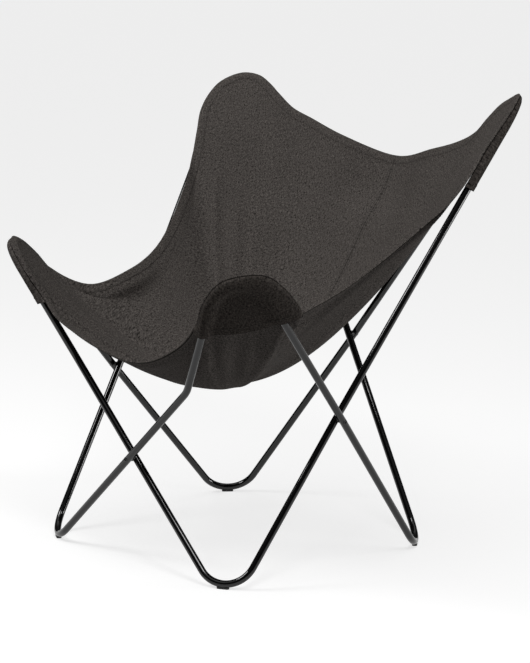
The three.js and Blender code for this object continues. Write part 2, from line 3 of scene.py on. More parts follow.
import bmesh
import bpy
import numpy as np
from mathutils import Matrix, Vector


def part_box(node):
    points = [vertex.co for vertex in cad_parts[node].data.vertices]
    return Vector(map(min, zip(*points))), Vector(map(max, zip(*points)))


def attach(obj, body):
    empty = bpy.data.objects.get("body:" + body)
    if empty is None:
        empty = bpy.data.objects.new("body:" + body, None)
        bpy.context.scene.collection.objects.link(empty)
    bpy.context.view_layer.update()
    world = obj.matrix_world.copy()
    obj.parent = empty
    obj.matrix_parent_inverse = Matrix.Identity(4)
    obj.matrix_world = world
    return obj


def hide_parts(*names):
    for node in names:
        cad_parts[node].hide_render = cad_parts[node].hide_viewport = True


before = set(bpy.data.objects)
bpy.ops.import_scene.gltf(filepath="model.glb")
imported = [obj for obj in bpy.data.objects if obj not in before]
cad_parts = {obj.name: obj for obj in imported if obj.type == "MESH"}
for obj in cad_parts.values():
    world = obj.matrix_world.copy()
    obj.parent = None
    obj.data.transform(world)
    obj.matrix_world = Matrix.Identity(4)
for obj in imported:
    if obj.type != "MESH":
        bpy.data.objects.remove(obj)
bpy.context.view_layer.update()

# Studio, which is no part of the chair: a pale level floor, light from straight above that fades towards the
# horizon, a soft box high on either side of the camera, which draws thin bright streaks along the rods, and a
# low one on the right that grazes the underside of the cloth.
yaw, pitch, roll = 0.7809, 0.2035, 0.0205
ahead = np.array([-np.sin(yaw) * np.cos(pitch), np.cos(yaw) * np.cos(pitch), -np.sin(pitch)])
level = np.array([np.cos(yaw), np.sin(yaw), 0.0])
upward = np.cross(level, ahead)
right_hand = level * np.cos(roll) + upward * np.sin(roll)
overhead = upward * np.cos(roll) - level * np.sin(roll)
eye = np.array([3.7377, -3.6920, 1.4908])

camera = bpy.data.objects.new("camera", bpy.data.cameras.new("camera"))
bpy.context.collection.objects.link(camera)
camera.matrix_world = Matrix(np.vstack([np.column_stack([right_hand, overhead, -ahead, eye]), [0, 0, 0, 1]]))
camera.data.sensor_fit = "AUTO"
camera.data.sensor_width = 36.0
camera.data.lens = 147.35
camera.data.shift_x = -0.02935
camera.data.shift_y = 0.00667
camera.data.clip_end = 200.0
bpy.context.scene.camera = camera
bpy.context.scene.view_settings.view_transform = "Standard"

sky_fade, sky_overhead, sky_horizon = 7.0, 1.5, 0.02
world = bpy.data.worlds.new("studio")
bpy.context.scene.world = world
world.use_nodes = True
sky_nodes, sky_link = world.node_tree.nodes, world.node_tree.links.new
sky_way = sky_nodes.new("ShaderNodeTexCoord")
sky_split = sky_nodes.new("ShaderNodeSeparateXYZ")
sky_link(sky_way.outputs["Generated"], sky_split.inputs["Vector"])
sky_height = sky_split.outputs["Z"]
for kind, value in (("MAXIMUM", 0.0), ("POWER", sky_fade), ("MULTIPLY", sky_overhead), ("ADD", sky_horizon)):
    step = sky_nodes.new("ShaderNodeMath")
    step.operation = kind
    step.inputs[1].default_value = value
    sky_link(sky_height, step.inputs[0])
    sky_height = step.outputs["Value"]
sky_nodes["Background"].inputs["Color"].default_value = (1, 1, 1, 1)
sky_link(sky_height, sky_nodes["Background"].inputs["Strength"])


box_distance, aim_height = 2.6, 0.45
soft_boxes = {"box_left": ((-0.46, -0.60, 0.66), 0.75, 14.5), "box_right": ((0.53, -0.30, 0.80), 0.7, 13.0),
              "box_low": ((0.80, 0.56, -0.04), 0.6, 15.0)}


def soft_box(name, way, size, radiance):
    """Square lamp facing the chair; its power is pi times its area times its radiance."""
    lamp = bpy.data.objects.new(name, bpy.data.lights.new(name, "AREA"))
    lamp.data.shape = "SQUARE"
    lamp.data.size = size
    lamp.data.energy = np.pi * size * size * radiance
    axis = np.array(way) / np.linalg.norm(way)
    side_on = np.cross([0.0, 0.0, 1.0], axis)
    side_on /= np.linalg.norm(side_on)
    place = axis * box_distance + [0.0, 0.0, aim_height]
    lamp.matrix_world = Matrix(np.vstack([
        np.column_stack([side_on, np.cross(axis, side_on), axis, place]), [0, 0, 0, 1]]))
    bpy.context.collection.objects.link(lamp)


for name, (way, size, radiance) in soft_boxes.items():
    soft_box(name, way, size, radiance)

# The floor shines by itself for the camera, and a little less in the rods, so that it stays pale.
floor_half, floor_grey = 60.0, 0.42
floor_glow, mirrored_share = 0.7, 0.85
floor_mesh = bpy.data.meshes.new("floor")
floor_mesh.from_pydata([(-floor_half, -floor_half, 0), (floor_half, -floor_half, 0),
                        (floor_half, floor_half, 0), (-floor_half, floor_half, 0)], [], [(0, 1, 2, 3)])
floor = bpy.data.objects.new("floor", floor_mesh)
bpy.context.collection.objects.link(floor)
pale = bpy.data.materials.new("pale_floor")
pale.use_nodes = True
paint = pale.node_tree.nodes["Principled BSDF"]
paint.inputs["Base Color"].default_value = (floor_grey, floor_grey, floor_grey, 1)
paint.inputs["Roughness"].default_value = 1.0
paint.inputs["Specular IOR Level"].default_value = 0.0
paint.inputs["Emission Color"].default_value = (1, 1, 1, 1)
seen_by = pale.node_tree.nodes.new("ShaderNodeLightPath")
shown = pale.node_tree.nodes.new("ShaderNodeMath")
shown.operation = "MAXIMUM"
whiten = pale.node_tree.nodes.new("ShaderNodeMath")
whiten.operation = "MULTIPLY"
whiten.inputs[1].default_value = floor_glow
pale.node_tree.links.new(seen_by.outputs["Is Camera Ray"], shown.inputs[0])
dimmed = pale.node_tree.nodes.new("ShaderNodeMath")
dimmed.operation = "MULTIPLY"
dimmed.inputs[1].default_value = mirrored_share
pale.node_tree.links.new(seen_by.outputs["Is Glossy Ray"], dimmed.inputs[0])
pale.node_tree.links.new(dimmed.outputs["Value"], shown.inputs[1])
pale.node_tree.links.new(shown.outputs["Value"], whiten.inputs[0])
pale.node_tree.links.new(whiten.outputs["Value"], paint.inputs["Emission Strength"])
floor_mesh.materials.append(pale)

# Frame: four solid round steel rods, each bent cold from one length and coated glossy black. Every rod stands
# on one foot; its legs cross two neighbours and run up into the sling's pockets, where rods meet end to end.
rod_radius = 0.007
crossing_offset = 0.009
end_gap = 0.00015
foot_clearance = 0.0018 + 0.0003
foot_corners = {"front": np.array([0.262, -0.265, -0.039]), "back": np.array([0.283, 0.265, -0.045])}
foot_bends = {"front": 0.057, "back": 0.060}
top_corners = {"front": np.array([0.359, -0.369, 0.704]), "back": np.array([0.409, 0.413, 0.969])}
top_bends = {"front": 0.055, "back": 0.054}
cross_middles = {"front": np.array([0.0, -0.272, 0.210]), "back": np.array([0.0, 0.330, 0.374]),
                 "side": np.array([0.316, -0.032, 0.306])}
cross_bend = 0.160
riser_straight = 0.236
riser_bend = 0.070
joint_drop = 0.026
settling_rounds = 6
line_step, rod_sides = 0.004, 24
crease_angle = 50.0
mirror = {"left": np.array([1.0, 1.0, 1.0]), "right": np.array([-1.0, 1.0, 1.0])}
far_side = {"left": "right", "right": "left", "front": "back", "back": "front"}


def unit(vectors):
    """Vectors divided by their own lengths."""
    return vectors / np.linalg.norm(vectors, axis=-1, keepdims=True)


def bend(corner, before, after, radius):
    """Circle of a bend between two legs: its centre, the way to the corner, the way across, and half its turn.
    The centre lies inside the corner by the radius over the sine of half the angle between the legs."""
    one, two = unit(before - corner), unit(after - corner)
    half = np.arccos(np.clip(one @ two, -1, 1)) / 2
    outward = -unit(one + two)
    return corner - outward * radius / np.sin(half), outward, unit(two - one), np.pi / 2 - half


def lowest(corner, before, after, radius):
    """Lowest point of a bend: from the centre by the radius along the steepest way down in its plane."""
    centre, outward, across, _ = bend(corner, before, after, radius)
    return centre + radius * unit(-outward[2] * outward - across[2] * across)


def crossing(middle, foot_one, foot_two, away):
    """Middle of a crossing and the direction square to both rods, pointing away from the chair."""
    normal = unit(np.cross(foot_one - middle, foot_two - middle))
    return middle, normal * np.sign(normal @ away)


crossings = {
    "front": crossing(cross_middles["front"], foot_corners["front"], foot_corners["front"] * mirror["right"],
                      np.array([0, -1, 0])),
    "back": crossing(cross_middles["back"], foot_corners["back"], foot_corners["back"] * mirror["right"],
                     np.array([0, 1, 0])),
}
for side in ("left", "right"):
    crossings[side] = crossing(cross_middles["side"] * mirror[side], foot_corners["front"] * mirror[side],
                               foot_corners["back"] * mirror[side], mirror[side] * np.array([1, 0, 0]))

rods = {}
for end, side, middle_layer, side_layer in (("front", "left", -1, -1), ("front", "right", 1, -1),
                                            ("back", "left", -1, 1), ("back", "right", 1, 1)):
    first = crossings[end][0] + crossings[end][1] * crossing_offset * middle_layer
    second = crossings[side][0] + crossings[side][1] * crossing_offset * side_layer
    foot = foot_corners[end] * mirror[side]
    for _ in range(settling_rounds):
        foot[2] += foot_clearance + rod_radius - lowest(foot, first, second, foot_bends[end])[2]
    lean = first + unit(first - foot) * riser_straight if end == "front" else first
    rods[end, side] = {"first": first, "second": second, "foot": foot, "lean": lean}

tops = {}
for end, side in rods:
    corner = top_corners[end] * mirror[side]
    from_middle = rods[end, far_side[side]]["lean"]
    from_side = rods[far_side[end], side]["second"]
    half = np.pi / 2 - bend(corner, from_middle, from_side, top_bends[end])[3]
    down = unit(from_middle - corner)
    joint = corner + down * (top_bends[end] / np.tan(half) + joint_drop)
    tops[end, side] = {"corner": corner, "from_middle": from_middle, "from_side": from_side,
                       "down": down, "joint": joint}


def leg(start, finish):
    """Points from just after start to finish, evenly spaced and at most a step apart."""
    count = int(np.ceil(np.linalg.norm(finish - start) / line_step))
    return start + (finish - start) * np.linspace(0, 1, count + 1)[1:, None]


def bent_line(corners, radii):
    """Centre line of a bent rod: straight legs joined by arcs, with points a step apart all the way."""
    runs = [corners[0][None]]
    for before, corner, after, radius in zip(corners, corners[1:], corners[2:], radii):
        centre, outward, across, reach = bend(corner, before, after, radius)
        turns = np.linspace(-reach, reach, max(3, int(np.ceil(2 * reach * radius / line_step)) + 1))[:, None]
        arc = centre + radius * (np.cos(turns) * outward + np.sin(turns) * across)
        runs += [leg(runs[-1][-1], arc[0]), arc[1:]]
    return np.concatenate(runs + [leg(runs[-1][-1], corners[-1])])


for (end, side), rod in rods.items():
    start, finish = tops[end, far_side[side]], tops[far_side[end], side]
    corners = [start["joint"] + start["down"] * end_gap, rod["lean"], rod["foot"], rod["second"],
               finish["corner"], finish["joint"] - finish["down"] * end_gap]
    radii = [riser_bend if end == "front" else cross_bend, foot_bends[end], cross_bend,
             top_bends[far_side[end]]]
    rod["line"] = bent_line(corners, radii)
    rod["normal"] = unit(np.cross(rod["first"] - rod["foot"], rod["second"] - rod["foot"]))

# The model's origin lies under the middle of the whole chair, cloth and all, so the chair's own middle line
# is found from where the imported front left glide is.
glide_low, glide_high = (np.array(corner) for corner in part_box("foot_glide_front_left"))
front_rest = lowest(rods["front", "left"]["foot"], rods["front", "left"]["first"],
                    rods["front", "left"]["second"], foot_bends["front"])
origin = front_rest - (glide_low + glide_high) / 2
origin[2] = 0.0


def mesh_piece(name, points, faces, material, replaced=(), uv=None, edge=None, weld=1e-6):
    """Object from points in the chair's own frame: shifted to the model's origin, welded, with its faces
    outward and smooth, and sharp only where they meet at more than the crease angle."""
    mesh = bpy.data.meshes.new(name)
    mesh.from_pydata((points.reshape(-1, 3) - origin).tolist(), [], faces)
    loops = np.zeros(len(mesh.loops), np.int32)
    mesh.loops.foreach_get("vertex_index", loops)
    for layer_name, pairs in (("cloth", uv), ("edge", edge)):
        if pairs is not None:
            layer = mesh.uv_layers.new(name=layer_name)
            layer.data.foreach_set("uv", pairs.reshape(-1, 2)[loops].astype(np.float32).ravel())
    made = bmesh.new()
    made.from_mesh(mesh)
    bmesh.ops.remove_doubles(made, verts=made.verts, dist=weld)
    bmesh.ops.dissolve_degenerate(made, edges=made.edges, dist=weld)
    if made.calc_volume(signed=True) < 0:
        bmesh.ops.reverse_faces(made, faces=made.faces)
    made.to_mesh(mesh)
    made.free()
    mesh.polygons.foreach_set("use_smooth", np.ones(len(mesh.polygons), bool))
    mesh.set_sharp_from_angle(angle=np.radians(crease_angle))
    mesh.materials.append(material)
    piece = bpy.data.objects.new(name, mesh)
    bpy.context.collection.objects.link(piece)
    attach(piece, "root")
    if replaced:
        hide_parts(*replaced)
    return piece


def wrapped(rows, columns, first=0):
    """Faces of a closed tube of rings, with a flat cap on the first and the last ring."""
    at = first + np.arange(rows * columns).reshape(rows, columns)
    after = np.roll(at, -1, axis=1)
    quads = np.stack([at[:-1], after[:-1], after[1:], at[1:]], axis=-1).reshape(-1, 4).tolist()
    return quads + [at[0][::-1].tolist(), at[-1].tolist()]


def tube(line, radii, reference, sides=rod_sides):
    """Rings round a line: at each point the ring stands square to the line, turned by a fixed reference."""
    along = unit(np.gradient(line, axis=0))
    one = unit(np.cross(along, reference))
    two = np.cross(along, one)
    turn = np.linspace(0, 2 * np.pi, sides, endpoint=False)[:, None]
    spokes = np.cos(turn) * one[:, None] + np.sin(turn) * two[:, None]
    return line[:, None] + np.broadcast_to(radii, len(line))[:, None, None] * spokes


def blank(name):
    """New node material with its shader, node list and link maker."""
    material = bpy.data.materials.new(name)
    material.use_nodes = True
    nodes = material.node_tree.nodes
    return material, nodes["Principled BSDF"], nodes, material.node_tree.links.new


peel_scale, peel_depth = 420, 0.0004
gloss_scale, gloss_least, gloss_most = 14, 0.8, 1.25


def coated(name, colour, roughness, ripple):
    """Smooth coat on steel: a fine orange-peel ripple in the normal and slightly uneven gloss."""
    material, shader, nodes, link = blank(name)
    shader.inputs["Base Color"].default_value = (*colour, 1)
    shader.inputs["Specular IOR Level"].default_value = 0.5
    place = nodes.new("ShaderNodeTexCoord")
    peel = nodes.new("ShaderNodeTexNoise")
    peel.inputs["Scale"].default_value = peel_scale
    bump = nodes.new("ShaderNodeBump")
    bump.inputs["Strength"].default_value = ripple
    bump.inputs["Distance"].default_value = peel_depth
    cloud = nodes.new("ShaderNodeTexNoise")
    cloud.inputs["Scale"].default_value = gloss_scale
    spread = nodes.new("ShaderNodeMapRange")
    spread.inputs["To Min"].default_value = roughness * gloss_least
    spread.inputs["To Max"].default_value = roughness * gloss_most
    link(place.outputs["Object"], peel.inputs["Vector"])
    link(place.outputs["Object"], cloud.inputs["Vector"])
    link(peel.outputs["Fac"], bump.inputs["Height"])
    link(bump.outputs["Normal"], shader.inputs["Normal"])
    link(cloud.outputs["Fac"], spread.inputs["Value"])
    link(spread.outputs["Result"], shader.inputs["Roughness"])
    return material


black_coat = coated("black_coat", (0.003, 0.003, 0.0033), 0.055, 0.03)
for (end, side), rod in rods.items():
    rings = tube(rod["line"], rod_radius, rod["normal"])
    mesh_piece(f"rod_{end}_{side}", rings, wrapped(*rings.shape[:2]), black_coat,
               [f"frame_rod_{end}_{side}"])

# Crossings: a button screw with a hexagon socket sits in the outer rod and threads into the inner one, and a
# short turned spacer keeps the two rods 4 mm apart. All of them are blackened steel. A turned piece is a list
# of radii and heights from the middle of the crossing.
screw_profile = [(0.0022, -0.012), (0.003, -0.0112), (0.003, 0.0141), (0.0046, 0.0141), (0.0048, 0.0143),
                 (0.0048, 0.0150), (0.00455, 0.0159), (0.0040, 0.0167), (0.0034, 0.0171), (0.0030, 0.0173)]
screw_sides, spacer_sides = 30, 32
socket_radius, socket_floor, socket_taper = 0.0023, 0.0155, 0.94
spacer_radius, spacer_half = 0.006, 0.0042
chamfer_radius_share, chamfer_height_share = 0.93, 0.85
any_way = [0.3, 0.2, 0.9]
black_steel = coated("black_steel", (0.010, 0.010, 0.010), 0.5, 0.05)


def turned(profile, middle, axis, sides):
    """Rings of a turned piece: radius and height pairs about an axis through a middle point."""
    one = unit(np.cross(axis, any_way))
    two = np.cross(axis, one)
    turn = np.linspace(0, 2 * np.pi, sides, endpoint=False)[:, None]
    spokes = np.cos(turn) * one + np.sin(turn) * two
    radius, height = np.array(profile).T
    return middle + radius[:, None, None] * spokes + height[:, None, None] * axis


def hexagon(radius, height, middle, axis, sides):
    """One ring on a hexagon: the flat's distance divided by the cosine of the turn from the nearest flat."""
    turn = np.linspace(0, 2 * np.pi, sides, endpoint=False)
    from_flat = (turn + np.pi / 6) % (np.pi / 3) - np.pi / 6
    return turned([(1.0, 0.0)], np.zeros(3), axis, sides) * (radius / np.cos(from_flat))[None, :, None] \
        + middle + height * axis


for name, (middle, normal) in crossings.items():
    rings = np.concatenate([
        turned(screw_profile, middle, normal, screw_sides),
        hexagon(socket_radius, screw_profile[-1][1], middle, normal, screw_sides),
        hexagon(socket_radius * socket_taper, socket_floor, middle, normal, screw_sides),
    ])
    mesh_piece(f"screw_{name}", rings, wrapped(*rings.shape[:2]), black_steel,
               [f"cross_screw_{name}"])
    narrow, body = spacer_radius * chamfer_radius_share, spacer_half * chamfer_height_share
    spacer_profile = [(narrow, -spacer_half), (spacer_radius, -body), (spacer_radius, body),
                      (narrow, spacer_half)]
    rings = turned(spacer_profile, middle, normal, spacer_sides)
    mesh_piece(f"spacer_{name}", rings, wrapped(*rings.shape[:2]), black_steel,
               [f"cross_spacer_{name}"])

# Joints and glides keep their CAD shapes: steel pins inside the rod ends, out of sight in the pockets, and
# moulded rubber strips under the feet.
rubber = coated("rubber", (0.02, 0.02, 0.02), 0.6, 0.4)
for end, side in rods:
    for node, finish in ((f"joint_pin_{end}_{side}", black_steel), (f"foot_glide_{end}_{side}", rubber)):
        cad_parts[node].data.materials.clear()
        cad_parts[node].data.materials.append(finish)

# Sling: two halves of coarse charcoal canvas joined by a felled seam down the middle, hemmed all round. It
# hangs by its four corners, so its surface is a bowl of rays from the low point of the seat to the rim.
seat_low = np.array([0.0, -0.006, 0.316])
front_edge_middle = np.array([0.0, -0.282, 0.401])
back_edge_middle = np.array([0.0, 0.452, 0.731])
edge_unit = np.array([0.409, 0.413, 0.969])
front_edge_shares = [[0.403, -0.758, 0.471]]
back_edge_shares = [[0.306, 1.027, 0.786]]
side_edge_shares = {
    "left": [[0.709, -0.31, 0.529], [0.631, -0.145, 0.529], [0.672, 0.097, 0.571], [0.812, 0.409, 0.677],
             [0.895, 0.533, 0.735]],
    "right": [[0.709, -0.31, 0.504], [0.631, -0.145, 0.528], [0.672, 0.097, 0.569], [0.812, 0.409, 0.679],
              [0.895, 0.533, 0.735]],
}
front_corner_shares = {
    "left": [[-1.55, -0.71, 0.22], [-1.2, 0.37, 0.05], [-0.56, 1.17, 0.03], [0.23, 1.34, 0.03],
             [1, 1.19, 0.03], [1.59, 0.44, 0.03], [2.02, -0.69, 0.11]],
    "right": [[-1.55, -0.85, 0.12], [-1.23, 0.27, 0.05], [-0.63, 1.12, 0.04], [0.09, 1.2, 0.06],
              [0.86, 0.88, 0.08], [1.52, 0.3, 0.1], [1.82, -0.83, 0.2]],
}
back_corner_shares = {
    "left": [[1.82, -1.3, 0.18], [1.66, -0.5, 0.2], [1.42, 0.25, 0.15], [1.05, 1.15, 0.08], [0.5, 1.7, 0.07],
             [-0.33, 1.31, 0.2], [-1.01, 0.85, 0.3], [-1.4, 0.2, 0.38], [-1.85, -0.45, 0.42],
             [-2.6, -1.1, 0.65]],
    "right": [[1.83, -1.3, 0.16], [1.7, -0.43, 0.16], [1.4, 0.26, 0.12], [0.95, 0.81, 0.08],
              [0.1, 1.19, 0.06], [-0.57, 1.06, 0.12], [-1, 0.67, 0.2], [-1.36, 0.2, 0.3], [-1.9, -0.41, 0.36],
              [-2.62, -0.92, 0.55]],
}
ray_turns = [0, 24, 48, 95, 130, 150, 165, 180]
ray_powers = [2.359, 2.21, 1.831, 1.504, 1.592, 2.02, 2.2, 2.26]
steepness_blend = 16.0
ray_bow, ray_bow_half_width = 0.030, 0.390
pocket_counts = {"front": (1.8, 8.0), "back": (13.4, 22.6)}
half_thickness = 0.0007
hem_width, hem_swell, hem_step = 0.018, 0.0006, 0.0012
seam_width, seam_swell, seam_step = 0.006, 0.0005, 0.001


rods_below, rods_around = 0.26, 0.34


def corner_frame(end, side):
    """Axes of a top corner, seen as if on the left: across, up the corner, and square to both towards the
    sitter. With them come the rod points that lie near it."""
    top = tops[end, side]
    view = mirror[side]
    centre, outward, across, _ = bend(top["corner"] * view, top["from_middle"] * view,
                                      top["from_side"] * view, top_bends[end])
    inwards = unit(np.cross(across, outward))
    inwards *= np.sign(inwards[1]) * (1 if end == "front" else -1)
    lines = np.concatenate([rods[end, far_side[side]]["line"], rods[far_side[end], side]["line"]]) * view
    near = ((lines - centre) @ outward > -rods_below) & (np.linalg.norm(lines - centre, axis=1) < rods_around)
    return {"centre": centre, "across": across, "raise": outward, "inwards": inwards,
            "radius": top_bends[end], "rods": lines[near]}


corner_frames = {key: corner_frame(*key) for key in rods}


def from_shares(corner, shares):
    """Points given in shares of a corner's bend radius: across, up the corner and towards the sitter."""
    axes = np.array([corner["across"], corner["raise"], corner["inwards"]])
    return corner["centre"] + corner["radius"] * np.array(shares) @ axes


rim_points = {}
for side in ("left", "right"):
    rim_points[side] = np.vstack([
        front_edge_middle, np.array(front_edge_shares) * edge_unit,
        from_shares(corner_frames["front", side], front_corner_shares[side]),
        np.array(side_edge_shares[side]) * edge_unit,
        from_shares(corner_frames["back", side], back_corner_shares[side]),
        np.array(back_edge_shares) * edge_unit, back_edge_middle])


def rim(counts, side):
    """Rim of a half at counts of its points: a smooth curve through all of them, carried past both seams by
    mirrored points. At each point its slope comes from the neighbours, weighted by the square roots of the
    distances between them (a centripetal Catmull-Rom curve)."""
    points = rim_points[side]
    flipped = points * mirror["right"]
    points = np.vstack([flipped[2:0:-1], points, flipped[-2:-4:-1]])
    counts = np.asarray(counts, float) + 2
    index = np.clip(np.floor(counts).astype(int), 1, len(points) - 3)
    part = (counts - index)[..., None]
    p0, p1, p2, p3 = (points[index + k] for k in (-1, 0, 1, 2))
    d0, d1, d2 = (np.sqrt(np.linalg.norm(b - a, axis=-1, keepdims=True))
                  for a, b in ((p0, p1), (p1, p2), (p2, p3)))
    slope1 = ((p1 - p0) / d0 - (p2 - p0) / (d0 + d1) + (p2 - p1) / d1) * d1
    slope2 = ((p2 - p1) / d1 - (p3 - p1) / (d1 + d2) + (p3 - p2) / d2) * d1
    return p1 + slope1 * part + (3 * (p2 - p1) - 2 * slope1 - slope2) * part ** 2 \
        + (2 * (p1 - p2) + slope1 + slope2) * part ** 3


def nearest(points, line):
    """Index of the nearest point of a line for every point, by the law of cosines on whole arrays."""
    flat = points.reshape(-1, 3)
    squared = (line ** 2).sum(1) - 2 * flat @ line.T
    return squared.argmin(1).reshape(points.shape[:-1])


def beside_rods(points, corner):
    """Cloth points by a corner's rods: height over the nearest rod towards the sitter, distance from it in
    the corner's plane, and whether the point lies inside the bend."""
    near = corner["rods"][nearest(points, corner["rods"])]
    offset = points - near
    height = offset @ corner["inwards"]
    apart = np.linalg.norm(offset - height[..., None] * corner["inwards"], axis=-1)
    drop = np.minimum(0, (points - corner["centre"]) @ corner["raise"])
    middle = corner["centre"] + drop[..., None] * corner["raise"]

    def reach(places):
        """Distance from the middle of the corner, measured in its plane."""
        arm = places - middle
        return np.linalg.norm(arm - (arm @ corner["inwards"])[..., None] * corner["inwards"], axis=-1)

    return height, apart, reach(points) < reach(near)


def rises(distance, start, width):
    """One below start and none past start and width; between them it falls by the smooth cubic step, three
    squares of the part less two cubes."""
    part = np.clip((distance - start) / width, 0, 1)
    return 1 - part * part * (3 - 2 * part)


cloth_clearance = 0.0005
just_outside = 1.001
least_apart = 1e-4
hollow_width = 0.024
tent_fall = 0.5
taut_until, taut_fade = 0.045, 0.035


def over_rods(points, ends, corner, facing, thickness, softness, bulge=0.0, sag=0.0):
    """Cloth drawn over rods: flat or sagging between them, round on them, then on to a near rim. Taut cloth
    runs straight from the rod to the rim; loose cloth stands off the rod by the bulge and falls to the rim in
    a quarter of an ellipse. Where the rim is far, the cloth only leans on the rod like a tent."""
    height, apart, inside = beside_rods(points, corner)
    rim_height, rim_apart, _ = beside_rods(ends, corner)
    height, rim_height = height * facing, rim_height * facing
    grip = rod_radius + cloth_clearance + thickness
    away = np.maximum(np.hypot(rim_apart, rim_height), grip * just_outside)
    touch = np.arctan2(rim_height, rim_apart) + np.arccos(grip / away)
    touch_apart, touch_height = grip * np.cos(touch), grip * np.sin(touch)
    run = (apart - touch_apart) / np.maximum(rim_apart - touch_apart, least_apart)
    straight = touch_height + (rim_height - touch_height) * np.clip(run, 0, 1)
    on_rod = np.sqrt(np.maximum(grip ** 2 - apart ** 2, 0))
    near_rim = np.where(apart < touch_apart, on_rod, straight)
    if bulge:
        fall = np.sqrt(np.maximum(1 - (apart / np.maximum(rim_apart, least_apart)) ** 2, 0))
        near_rim = rim_height + (grip + bulge - rim_height) * fall
    between = grip + bulge - sag * (1 - np.exp(-(apart / hollow_width) ** 2))
    tent = np.maximum(on_rod, grip - tent_fall * apart)

    def gain(wanted):
        """Lift to a wanted height, which is none where the cloth is higher, rounded over by the softness."""
        return 0.5 * (wanted - height + np.sqrt((height - wanted) ** 2 + softness ** 2))

    taut = rises(rim_apart, taut_until, taut_fade)
    outside = taut * gain(near_rim) + (1 - taut) * gain(tent)
    return points + (np.where(inside, gain(between), outside) * facing)[..., None] * corner["inwards"]


turn_spots, middle_turn = np.linspace(-120, 300, 841), 90


def steepness(turn):
    """Power of a ray by its turn: straight runs between known turns, mirrored at both seams, then averaged
    under a bell."""
    folded = 180 - np.abs(180 - np.abs(turn_spots))
    bell = np.exp(-((turn_spots - middle_turn) / steepness_blend) ** 2)
    rounded = np.convolve(np.interp(folded, ray_turns, ray_powers), bell / bell.sum(), mode="same")
    return np.interp(turn, turn_spots, rounded)


# Folds: each runs from one place to another, given by count round the rim and share of the way out to it, and
# has a width and a height in metres. Fans are the faint waves that run up from the seat to a corner.
relax_columns, relax_until, relax_fade = 8, 0.80, 0.14
fold_from, fold_run, fold_fullness = 0.08, 0.84, 0.8
fan_start, fan_rise, fan_end, fan_fall, fan_seam = 0.3, 0.25, 0.86, 0.2, 0.03
corner_share, corner_softness, corner_rise, corner_rim = 0.6, 0.006, 0.1, 0.03
fans = {"front": (5.0, 2.2, 0.0025), "back": (18.0, 3.0, 0.0018)}
creases = {
    "left": [
        ((22.7, 0.985), (22.5, 0.93), 0.0030, -0.0016), ((21.7, 0.992), (19.4, 0.91), 0.0028, -0.0014),
        ((20.9, 0.975), (20.3, 0.90), 0.0035, 0.0010), ((17.3, 0.985), (16.7, 0.93), 0.0030, -0.0010),
        ((11.1, 0.99), (10.6, 0.88), 0.0040, 0.0018), ((11.5, 0.99), (11.1, 0.88), 0.0035, -0.0018),
        ((12.0, 0.99), (11.5, 0.89), 0.0040, 0.0016), ((10.4, 0.99), (9.9, 0.87), 0.0045, -0.0016),
        ((1.9, 0.93), (1.5, 0.70), 0.0065, 0.0050), ((1.6, 0.94), (1.1, 0.72), 0.0055, -0.0044),
        ((2.4, 0.90), (2.3, 0.66), 0.0070, -0.0056), ((7.9, 0.93), (8.4, 0.66), 0.0070, 0.0050),
        ((8.3, 0.94), (9.3, 0.68), 0.0060, -0.0044), ((7.4, 0.90), (7.5, 0.62), 0.0080, -0.0056),
        ((3.4, 0.86), (3.0, 0.60), 0.0110, 0.0034), ((6.0, 0.86), (6.9, 0.60), 0.0110, 0.0034),
        ((14.6, 0.90), (14.2, 0.66), 0.0080, -0.0016), ((16.4, 0.84), (15.4, 0.60), 0.0110, 0.0016),
    ],
    "right": [
        ((20.9, 0.975), (17.8, 0.86), 0.0050, -0.0020), ((6.0, 0.93), (6.2, 0.70), 0.0042, 0.0024),
        ((6.9, 0.96), (6.95, 0.80), 0.0050, -0.0026), ((11.3, 0.95), (11.9, 0.74), 0.0075, -0.0026),
        ((11.9, 0.75), (15.2, 0.54), 0.0090, -0.0022), ((10.6, 0.97), (9.4, 0.70), 0.0220, -0.0012),
        ((9.2, 0.95), (7.7, 0.62), 0.0190, 0.0012), ((2.3, 0.93), (2.2, 0.68), 0.0070, 0.0022),
        ((1.8, 0.93), (1.4, 0.70), 0.0065, -0.0022), ((7.9, 0.93), (8.6, 0.70), 0.0080, -0.0020),
        ((17.0, 0.90), (15.7, 0.62), 0.0120, 0.0018), ((22.4, 0.95), (22.0, 0.80), 0.0060, -0.0014),
    ],
}


def relaxed(points, shares):
    """Cloth eased sideways: each column is averaged with its neighbours under a bell, mirrored at the seams,
    and the effect fades out towards the rim."""
    reach = 3 * relax_columns
    flip = mirror["right"]
    wide = np.concatenate([points[:, reach:0:-1] * flip, points, points[:, -2:-2 - reach:-1] * flip], axis=1)
    bell = np.exp(-0.5 * (np.arange(-reach, reach + 1) / relax_columns) ** 2)
    bell /= bell.sum()
    eased = sum(weight * wide[:, k:k + points.shape[1]] for k, weight in enumerate(bell))
    return points + (eased - points) * rises(shares, relax_until, relax_fade)[..., None]


def creased(points, normals, shares, counts, lines):
    """Cloth with narrow folds: each is a bell-shaped ridge or groove about a straight line between two places
    given by count and share, and it dies out at both ends."""
    moved = points.copy()
    for start, finish, width, height in lines:
        a, b = (points[np.abs(shares[:, 0] - share).argmin(), np.abs(counts[0] - count).argmin()]
                for count, share in (start, finish))
        part = np.clip((points - a) @ (b - a) / ((b - a) @ (b - a)), 0, 1)
        away = np.linalg.norm(points - a - part[..., None] * (b - a), axis=-1)
        fullness = np.sin(np.pi * (fold_from + fold_run * part)) ** fold_fullness
        size = height * np.exp(-(away / width) ** 2) * fullness
        moved += size[..., None] * normals
    return moved


